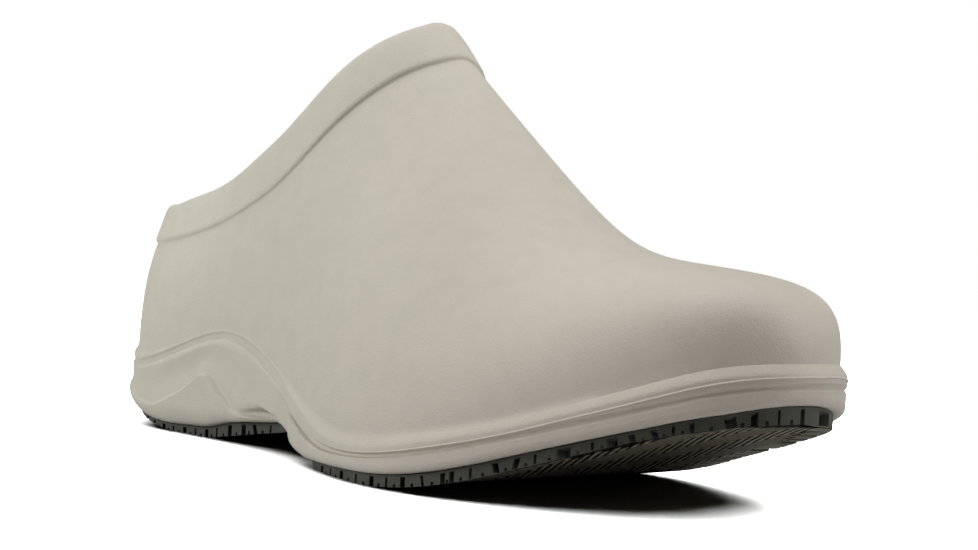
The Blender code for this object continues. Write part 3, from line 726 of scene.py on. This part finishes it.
# Outsole pads: dark slip-resistant rubber under ball and heel, pressed in a mould of their own and glued
# into the body. Lugs round the edge are parted by slots and sipes, with herringbone ribs between them.
SEAT_GAP = 0.3               # room for the glue over a pad, and under the footbed
PAD_END_LEAN = 1.4           # the pads' straight ends slope in towards their lower edge
PAD_PLATE = 0.6              # thickness of the plate that carries the lugs
PLATE_COLUMNS = 91
LUG_DEPTH = 9.0              # lugs reach this far in from the pad's edge
LUG_STEP = 1.2               # greatest length of a straight facet along a lug
FOOT_NOTCH = 0.28            # height of the small notches in the lugs' lower edge, as a share of the pad's
NOTCH_WIDTH = 0.9
LUG_TOP = 0.92               # lugs reach up into the plate
END_LUG_LEAST = 1.5          # no cut is closer than this to a pad's straight end
EDGE_SAMPLES = 3001          # places where the length of a pad's edge is measured
DEPTH_SAMPLES = 1201         # places on the edge from which depth in the slots is measured

# Cuts in the edge, from the pad's round end: distance along the edge, width, lean over the pad's height.
FOREFOOT_CUTS = (
    (0.0, 1.7, 0.0),
    (7.8, 0.8, 0.0),
    (14.5, 2.0, 0.0),
    (20.6, 3.0, 1.0),
    (30.0, 1.3, 0.0),
    (34.6, 0.8, 0.0),
    (39.3, 1.6, 0.8),
    (45.0, 1.6, 0.6),
    (50.1, 3.0, 0.0),
    (55.3, 0.8, 0.0),
    (63.1, 3.8, 0.0),
    (71.1, 0.8, 0.0),
    (76.5, 1.8, -1.0),
    (82.7, 1.8, 1.0),
    (90.4, 0.8, 0.0),
    (96.4, 1.6, 0.0),
    (99.4, 1.6, 0.0),
    (106.5, 0.9, 0.8),
    (113.7, 1.9, 0.0),
    (120.2, 0.9, 0.0),
    (126.6, 1.9, 0.0),
    (134.1, 0.9, 0.0),
    (142.3, 1.9, 0.0),
    (149.5, 0.9, 0.0),
    (156.0, 1.8, 0.0),
)
TOE_RECESS = (10.5, 6.5, 0.0)         # wide recess beside the toe tip on the medial side
HEEL_CUTS = (
    (0.0, 1.6, 0.0),
    (6.6, 0.8, 0.0),
    (13.2, 1.8, 0.0),
    (19.8, 0.8, 0.0),
    (26.4, 1.8, 0.0),
    (33.0, 0.8, 0.0),
    (39.6, 1.8, 0.0),
    (46.3, 0.8, 0.0),
    (53.0, 1.8, 0.0),
    (58.8, 1.4, 0.0),
    (65.5, 1.9, 0.0),
    (71.4, 0.9, 0.0),
    (78.2, 1.9, 0.0),
    (84.5, 0.9, 0.0),
    (90.9, 1.9, 0.0),
    (96.7, 0.9, 0.0),
    (104.5, 2.2, 0.0),
    (112.5, 2.2, 0.0),
    (117.8, 1.6, -1.0),
    (125.0, 0.9, 0.0),
)
RIB_WIDTH = 2.3
RIB_PITCH = 4.2
RIB_BAND = 11.0              # width of a herringbone band
RIB_SLANT = 1.6              # run along the shoe for each millimetre across
RIB_MARGIN = 7.0             # ribs keep this far inside the pad's edge
RIB_SHORT = 0.5              # ribs end this far above the lugs' walking face
RIB_PIECES = 4               # straight pieces of a rib, so that it follows the underside
HALF_BANDS = 5               # herringbone bands on each side of the middle


def prism(lower, upper):
    """Closed shell between a lower and an upper outline with the same number of corners."""
    count = len(lower)
    sides = [(i, (i + 1) % count, count + (i + 1) % count, count + i) for i in range(count)]
    floor_face = tuple(range(count))[::-1]
    roof_face = tuple(range(count, 2 * count))
    return np.concatenate([lower, upper]), [*sides, floor_face, roof_face]


def edge_place(end_turn):
    """Two functions: lateral turn at a distance along a pad's edge from its round end, and the reverse."""
    turn = np.linspace(end_turn, 1 - end_turn, EDGE_SAMPLES)
    ring = wall_ring(turn, np.zeros(len(turn)), -PAD_INSET)
    run = np.r_[0, np.cumsum(np.linalg.norm(np.diff(ring[:, :2], axis=0), axis=1))]
    order = np.argsort(turn)

    def turn_at(distance):
        return np.interp(distance, run, turn)

    def distance_at(place):
        return np.interp(place, turn[order], run[order])

    return turn_at, distance_at


def edge_lugs(end_turn, arch_x, cuts, low, high):
    """Lugs of one layer along a pad's edge, between shares low and high of the pad's height."""
    turn_at, distance_at = edge_place(end_turn)
    last = distance_at(turn_of((arch_x - SOLE_STEP) / LAST_LENGTH))
    shells = []
    end_cut = (last - PAD_END_LEAN / 2, 0.0, PAD_END_LEAN)
    for side in (1, -1):
        gaps = [row for row in cuts if row[0] < last - END_LUG_LEAST]
        if side < 0 and end_turn > 0.5:
            past_recess = [row for row in gaps if row[0] > TOE_RECESS[0] + TOE_RECESS[1]]
            gaps = [gaps[0], TOE_RECESS, *past_recess]
        for first, second in zip(gaps, [*gaps[1:], end_cut]):
            count = max(2, int((second[0] - first[0]) / LUG_STEP) + 1)
            outlines = []
            for level in (low, high):
                start = first[0] + first[1] / 2 + first[2] * (level - 0.5)
                stop = second[0] - second[1] / 2 + second[2] * (level - 0.5)
                turn = turn_at(np.linspace(start, stop, count))
                u = turn if side > 0 else 2 - turn
                height = underside(ring_x(u), outline_y(u)) + (pad_height(ring_x(u)) - SEAT_GAP) * level
                outer = wall_ring(u, height, -pad_inset(ring_x(u)))
                inner = wall_ring(u, height, -pad_inset(ring_x(u)) - LUG_DEPTH)
                outline = np.concatenate([outer, inner[::-1]])
                counter_clockwise = (side > 0) == (end_turn < 0.5)
                outlines.append(outline if counter_clockwise else outline[::-1])
            shells.append(prism(*outlines))
    return shells


def inside_pad(points, arch_x, end_turn, margin):
    """Whether points in plan lie inside the pad's edge by a margin."""
    x, y = points.T
    turn = turn_of((x - SOLE_STEP) / LAST_LENGTH)
    clear_of_arch = x > arch_x + margin if end_turn > 0.5 else x < arch_x - margin
    clear_of_ends = (x > SOLE_STEP + margin) & (x < SOLE_STEP + LAST_LENGTH - margin)
    clear_of_sides = (y > outline_y(turn) + margin) & (y < outline_y(2 - turn) - margin)
    return clear_of_arch & clear_of_ends & clear_of_sides


def herringbone(end_turn, arch_x):
    """Slanted ribs in bands along the shoe, their slant turning from band to band."""
    shells = []
    span = (SOLE_STEP, arch_x) if end_turn < 0.5 else (arch_x, SOLE_STEP + LAST_LENGTH)
    bands = np.arange(-HALF_BANDS * RIB_BAND, HALF_BANDS * RIB_BAND, RIB_BAND)
    for index, band in enumerate(bands):
        slant = RIB_SLANT if index % 2 else -RIB_SLANT
        for start in np.arange(span[0] - RIB_BAND, span[1] + RIB_BAND, RIB_PITCH):
            for part in range(RIB_PIECES):
                y0 = band + RIB_BAND * part / RIB_PIECES
                y1 = band + RIB_BAND * (part + 1) / RIB_PIECES
                x0 = start + slant * (y0 - band - RIB_BAND / 2)
                x1 = start + slant * (y1 - band - RIB_BAND / 2)
                plan_corners = np.array([(x0, y0), (x0 + RIB_WIDTH, y0), (x1 + RIB_WIDTH, y1), (x1, y1)])
                if not inside_pad(plan_corners, arch_x, end_turn, RIB_MARGIN).all():
                    continue
                foot = underside(*plan_corners.T)
                top = foot + pad_height(plan_corners[:, 0]) - SEAT_GAP - PAD_PLATE / 2
                lower = np.column_stack([plan_corners, foot + RIB_SHORT])
                upper = np.column_stack([plan_corners, top])
                shells.append(prism(lower, upper))
    return shells


def pad_plate(end_turn, arch_x):
    """Plate of a pad, from its straight end at the arch round its far end and back."""
    arch_turn = turn_of((arch_x - SOLE_STEP) / LAST_LENGTH)
    lateral = np.linspace(arch_turn, end_turn, PLATE_COLUMNS)
    one_way = np.r_[lateral, 2 - lateral[-2::-1]]
    u = one_way if end_turn > arch_turn else 2 - one_way
    top = underside(ring_x(u), outline_y(u)) + pad_height(ring_x(u)) - SEAT_GAP
    inset = -pad_inset(ring_x(u))
    return lofted([wall_ring(u, top - PAD_PLATE, inset), wall_ring(u, top, inset)])


def notched(cuts):
    """Cuts of the lugs' lowest layer: a small notch is added half way between each pair."""
    notches = [((a[0] + b[0]) / 2, NOTCH_WIDTH, 0.0) for a, b in zip(cuts, cuts[1:])]
    return sorted([*cuts, *notches])


def mark_depths(pad, shells):
    """Note at each corner how far it lies inside the pads' edge and over the walking face, in millimetres."""
    corners = np.concatenate([points for points, polygons in shells])
    u = np.linspace(0, 2, DEPTH_SAMPLES)
    edge = wall_ring(u, underside(ring_x(u), outline_y(u)), -pad_inset(ring_x(u)))
    inside = [np.linalg.norm(edge[:, :2] - corner[:2], axis=1).min() for corner in corners]
    over = corners[:, 2] - underside(corners[:, 0], corners[:, 1])
    for name, depths in (("inside_edge", inside), ("over_ground", over)):
        marks = pad.data.attributes.new(name, "FLOAT", "POINT")
        marks.data.foreach_set("value", np.asarray(depths, dtype=np.float32))


# Pressed tread rubber: dark grey-green and matt with a fine mould texture, dusty in clouds, its down-facing
# walking faces paler brown-grey, partly from wear and partly as painted light from the floor below, its slots
# and grooves painted near black as shade.
tread_rubber, tree, shader = new_material("pressed_tread_rubber")
DUST_MM = 9.0
DUST_SHARE = 0.5             # greatest share of the dusty tone
SLOT_PAINTED_SHADE = (0.5, 2.5)       # millimetres in from the edge over which painted shade darkens the slots
WORN_AND_LIT_FACING = (-0.6, -0.9)   # faces that look down more than this are worn and take painted floor light, a little and fully
WORN_AND_LIT_UP_TO = (1.6, 0.8)    # millimetres over the walking face where the wear and painted floor light end and are full
place = add_node(tree, "ShaderNodeTexCoord").outputs["Object"]
cloud = add_node(tree, "ShaderNodeTexNoise", {"Vector": place, "Scale": 1000 / DUST_MM, "Detail": 4.0})
skin = add_node(tree, "ShaderNodeTexNoise", {"Vector": place, "Scale": 1000 / GRAIN_MM, "Detail": 3.0})
dusty = add_node(tree, "ShaderNodeMapRange", {
    "Value": cloud.outputs["Fac"], "From Min": 0.45, "From Max": 0.75, "To Max": DUST_SHARE})
shade = add_node(tree, "ShaderNodeMix", {
    "Factor": dusty.outputs["Result"], "A": linear("#373830"), "B": linear("#484A3D")}, data_type="RGBA")
# Painted shade: corners deeper in from the pads' edge are mixed towards near black, as shade falls in the
# slots and grooves.
inside = add_node(tree, "ShaderNodeAttribute", attribute_name="inside_edge").outputs["Fac"]
slot_shade_share = add_node(tree, "ShaderNodeMapRange", {
    "Value": inside, "From Min": SLOT_PAINTED_SHADE[0], "From Max": SLOT_PAINTED_SHADE[1]})
slot_shaded = add_node(tree, "ShaderNodeMix", {
    "Factor": slot_shade_share.outputs["Result"], "A": shade.outputs["Result"], "B": linear("#11120F")},
    data_type="RGBA")
# Partly wear, partly painted light: faces that look down, near the walking face, are mixed towards a paler
# brown-grey, as the lit floor would brighten them.
facing = add_node(tree, "ShaderNodeNewGeometry").outputs["True Normal"]
facing_up = add_node(tree, "ShaderNodeSeparateXYZ", {"Vector": facing}).outputs["Z"]
worn_and_lit_facing = add_node(tree, "ShaderNodeMapRange", {
    "Value": facing_up, "From Min": WORN_AND_LIT_FACING[0], "From Max": WORN_AND_LIT_FACING[1]})
over = add_node(tree, "ShaderNodeAttribute", attribute_name="over_ground").outputs["Fac"]
walking = add_node(tree, "ShaderNodeMapRange", {
    "Value": over, "From Min": WORN_AND_LIT_UP_TO[0], "From Max": WORN_AND_LIT_UP_TO[1]})
worn_and_lit_share = add_node(tree, "ShaderNodeMath", {
    0: worn_and_lit_facing.outputs["Result"], 1: walking.outputs["Result"]}, operation="MULTIPLY")
worn_and_floor_lit = add_node(tree, "ShaderNodeMix", {
    "Factor": worn_and_lit_share.outputs["Value"], "A": slot_shaded.outputs["Result"], "B": linear("#857E6C")},
    data_type="RGBA")
relief = add_node(tree, "ShaderNodeBump", {
    "Height": skin.outputs["Fac"], "Strength": 0.3, "Distance": 0.0002})
tree.links.new(worn_and_floor_lit.outputs["Result"], shader.inputs["Base Color"])
tree.links.new(relief.outputs["Normal"], shader.inputs["Normal"])
shader.inputs["Roughness"].default_value = 0.68
shader.inputs["IOR"].default_value = 1.52

# Pads: node, turn at the round end, x of the straight end at the arch, cuts.
PADS = (
    ("outsole_forefoot", 1.0, 153.5, FOREFOOT_CUTS),
    ("outsole_heel", 0.0, 119.0, HEEL_CUTS),
)
for node_name, end_turn, arch_x, cuts in PADS:
    shells = [pad_plate(end_turn, arch_x)]
    shells += edge_lugs(end_turn, arch_x, cuts, FOOT_NOTCH, LUG_TOP)
    shells += edge_lugs(end_turn, arch_x, notched(cuts), 0.0, FOOT_NOTCH)
    shells += herringbone(end_turn, arch_x)
    pad = shoe_piece(node_name + "_tread", shells)
    mark_depths(pad, shells)
    pad.data.materials.append(tread_rubber)
    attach(pad, "root")
    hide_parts(node_name)
    shoe_pieces.append(pad)


# Insole: a loose moulded foam footbed that lies on the inner floor, with a slightly raised rim that cups
# the foot; it lifts out through the collar.
INSOLE_THICKNESS = 4.2
INSOLE_INSET = 6.0           # insole stands in from the outside of the last
INSOLE_COLUMNS = 240

# Insole profile from below: height over its seat, distance in from its edge.
INSOLE_PROFILE = (
    (0.0, 0.8),
    (0.5, 0.25),
    (1.4, 0.0),
    (INSOLE_THICKNESS + 0.2, 0.0),
    (INSOLE_THICKNESS + 0.7, 0.3),
    (INSOLE_THICKNESS + 0.8, 1.2),
    (INSOLE_THICKNESS + 0.6, 3.0),
    (INSOLE_THICKNESS + 0.15, 5.4),
    (INSOLE_THICKNESS, 7.4),
)

# Footbed foam: soft closed-cell foam with a fine pebbled top, duller than the body.
footbed_foam, tree, shader = new_material("footbed_foam")
place = add_node(tree, "ShaderNodeTexCoord").outputs["Object"]
PEBBLE_MM = 1.6
pebble = add_node(tree, "ShaderNodeTexVoronoi", {"Vector": place, "Scale": 1000 / PEBBLE_MM})
# Painted shade: the tone darkens into the hollows between the pebbles, where the bump dips.
pebble_shade_tone = add_node(tree, "ShaderNodeMix", {
    "Factor": pebble.outputs["Distance"], "A": linear("#BDB6A8"), "B": linear("#ABA496")}, data_type="RGBA")
relief = add_node(tree, "ShaderNodeBump", {
    "Height": pebble.outputs["Distance"], "Strength": 0.4, "Distance": 0.0003}, invert=True)
tree.links.new(pebble_shade_tone.outputs["Result"], shader.inputs["Base Color"])
tree.links.new(relief.outputs["Normal"], shader.inputs["Normal"])
shader.inputs["Roughness"].default_value = 0.85

insole_turns = np.arange(INSOLE_COLUMNS) * 2.0 / INSOLE_COLUMNS
seat = inner_floor(ring_x(insole_turns)) + SEAT_GAP
insole_rings = [wall_ring(insole_turns, seat + height, -INSOLE_INSET - stand_in)
                for height, stand_in in INSOLE_PROFILE]
insole = shoe_piece("insole_footbed", [lofted(insole_rings)])
insole.data.materials.append(footbed_foam)
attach(insole, "root")
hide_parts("insole")
shoe_pieces.append(insole)


# Stage: a table of pale paper, glowing white beyond a round under the shoe, in a white room. The lights burn
# the paper out for the camera, so it returns less light to the shoe than it shows.
FLOOR_HALF = 40.0
PAPER_RADIUS = (0.30, 0.75)  # plain paper up to the first, glowing white from the second
TABLE_RETURN = 0.62          # light that comes back off the glowing table
floor_corners = [(x * FLOOR_HALF, y * FLOOR_HALF, 0.0) for x, y in ((-1, -1), (1, -1), (1, 1), (-1, 1))]
floor_mesh = bpy.data.meshes.new("studio_floor")
floor_mesh.from_pydata(floor_corners, [], [(0, 1, 2, 3)])
floor = bpy.data.objects.new("studio_floor", floor_mesh)
bpy.context.scene.collection.objects.link(floor)
paper, tree, shader = new_material("white_studio_paper")
place = add_node(tree, "ShaderNodeTexCoord").outputs["Object"]
radius = add_node(tree, "ShaderNodeVectorMath", {0: place}, operation="LENGTH").outputs["Value"]
glow = add_node(tree, "ShaderNodeMapRange", {
    "Value": radius, "From Min": PAPER_RADIUS[0], "From Max": PAPER_RADIUS[1]},
    interpolation_type="SMOOTHSTEP")
ray = add_node(tree, "ShaderNodeLightPath").outputs["Is Camera Ray"]
shown = add_node(tree, "ShaderNodeMapRange", {"Value": ray, "To Min": TABLE_RETURN})
glow_shown = add_node(tree, "ShaderNodeMath", {
    0: glow.outputs["Result"], 1: shown.outputs["Result"]}, operation="MULTIPLY")
paper_shown = add_node(tree, "ShaderNodeMix", {
    "Factor": ray, "A": linear("#363635"), "B": linear("#8A8A89")}, data_type="RGBA")
tree.links.new(paper_shown.outputs["Result"], shader.inputs["Base Color"])
tree.links.new(glow_shown.outputs[0], shader.inputs["Emission Strength"])
shader.inputs["Roughness"].default_value = 0.9
shader.inputs["Specular IOR Level"].default_value = 0.0
shader.inputs["Emission Color"].default_value = linear("#FFFFFF")
floor.data.materials.append(paper)

world = bpy.data.worlds.new("white_room")
bpy.context.scene.world = world
world.use_nodes = True
tree = world.node_tree
tree.nodes.clear()
ray = add_node(tree, "ShaderNodeLightPath").outputs["Is Camera Ray"]
seen = add_node(tree, "ShaderNodeBackground", {"Color": linear("#FFFFFF"), "Strength": ray})
add_node(tree, "ShaderNodeOutputWorld", {"Surface": seen.outputs[0]})

# Camera at the photograph's place, in the shoe's millimetres, slightly rolled as the photograph is.
CAMERA_PLACE = np.array([575.62, -342.49, 65.24])
CAMERA_YAW = 0.8636
CAMERA_PITCH = -0.0109
CAMERA_ROLL = 0.0515
FOCAL_PIXELS = 1743.76
IMAGE_WIDTH = 978
SENSOR_WIDTH = 36.0
ahead = np.array([
    -math.sin(CAMERA_YAW) * math.cos(CAMERA_PITCH),
    math.cos(CAMERA_YAW) * math.cos(CAMERA_PITCH),
    math.sin(CAMERA_PITCH),
])
level_right = np.array([math.cos(CAMERA_YAW), math.sin(CAMERA_YAW), 0.0])
level_up = np.cross(level_right, ahead)
camera_right = math.cos(CAMERA_ROLL) * level_right + math.sin(CAMERA_ROLL) * level_up
camera_up = math.cos(CAMERA_ROLL) * level_up - math.sin(CAMERA_ROLL) * level_right
camera_data = bpy.data.cameras.new("photo_camera")
camera_data.sensor_width = SENSOR_WIDTH
camera_data.lens = FOCAL_PIXELS / IMAGE_WIDTH * SENSOR_WIDTH
camera = bpy.data.objects.new("photo_camera", camera_data)
bpy.context.scene.collection.objects.link(camera)
turned = np.eye(4)
turned[:3, :3] = np.column_stack([camera_right, camera_up, -ahead])
turned[:3, 3] = (CAMERA_PLACE - ORIGIN) * MM
camera.matrix_world = Matrix(turned.tolist())
bpy.context.scene.camera = camera

# Softboxes: name, turn round the shoe from the camera, elevation, both in degrees, width, watts, and what
# they light: the weak ones are flagged off the table, and the strong ones light the table alone.
SOFTBOX_DISTANCE = 1.2
SOFTBOXES = (
    ("overhead_softbox", 0.0, 90.0, 0.8, 7.9, "shoe"),
    ("front_softbox", 40.0, 70.0, 0.8, 5.2, "shoe"),
    ("left_softbox", 275.0, 15.0, 0.8, 9.8, "shoe"),
    ("right_softbox", 90.0, 15.0, 0.8, 5.2, "shoe"),
    ("table_softbox", 130.0, 84.0, 1.9, 150.0, "table"),
    ("toe_softbox", 40.0, 45.0, 0.5, 135.0, "table"),
    ("heel_softbox", 219.0, 35.0, 0.6, 90.0, "table"),
)
lit_groups = {"shoe": shoe_pieces, "table": [floor]}
for group_name, members in lit_groups.items():
    group = bpy.data.collections.new("lit_" + group_name)
    for member in members:
        group.objects.link(member)
    lit_groups[group_name] = group
for light_name, turn_deg, rise_deg, width, watts, lights in SOFTBOXES:
    turn_rad, rise_rad = math.radians(turn_deg), math.radians(rise_deg)
    away = math.sin(turn_rad) * level_right - math.cos(turn_rad) * np.array([ahead[0], ahead[1], 0.0])
    towards = Vector((away * math.cos(rise_rad) + np.array([0.0, 0.0, math.sin(rise_rad)])).tolist())
    light_data = bpy.data.lights.new(light_name, "AREA")
    light_data.size = width
    light_data.energy = watts
    softbox = bpy.data.objects.new(light_name, light_data)
    bpy.context.scene.collection.objects.link(softbox)
    softbox.location = towards * SOFTBOX_DISTANCE
    softbox.rotation_mode = "QUATERNION"
    softbox.rotation_quaternion = (-towards).to_track_quat("-Z", "Y")
    softbox.light_linking.receiver_collection = lit_groups.get(lights)

bpy.context.scene.view_settings.view_transform = "Standard"
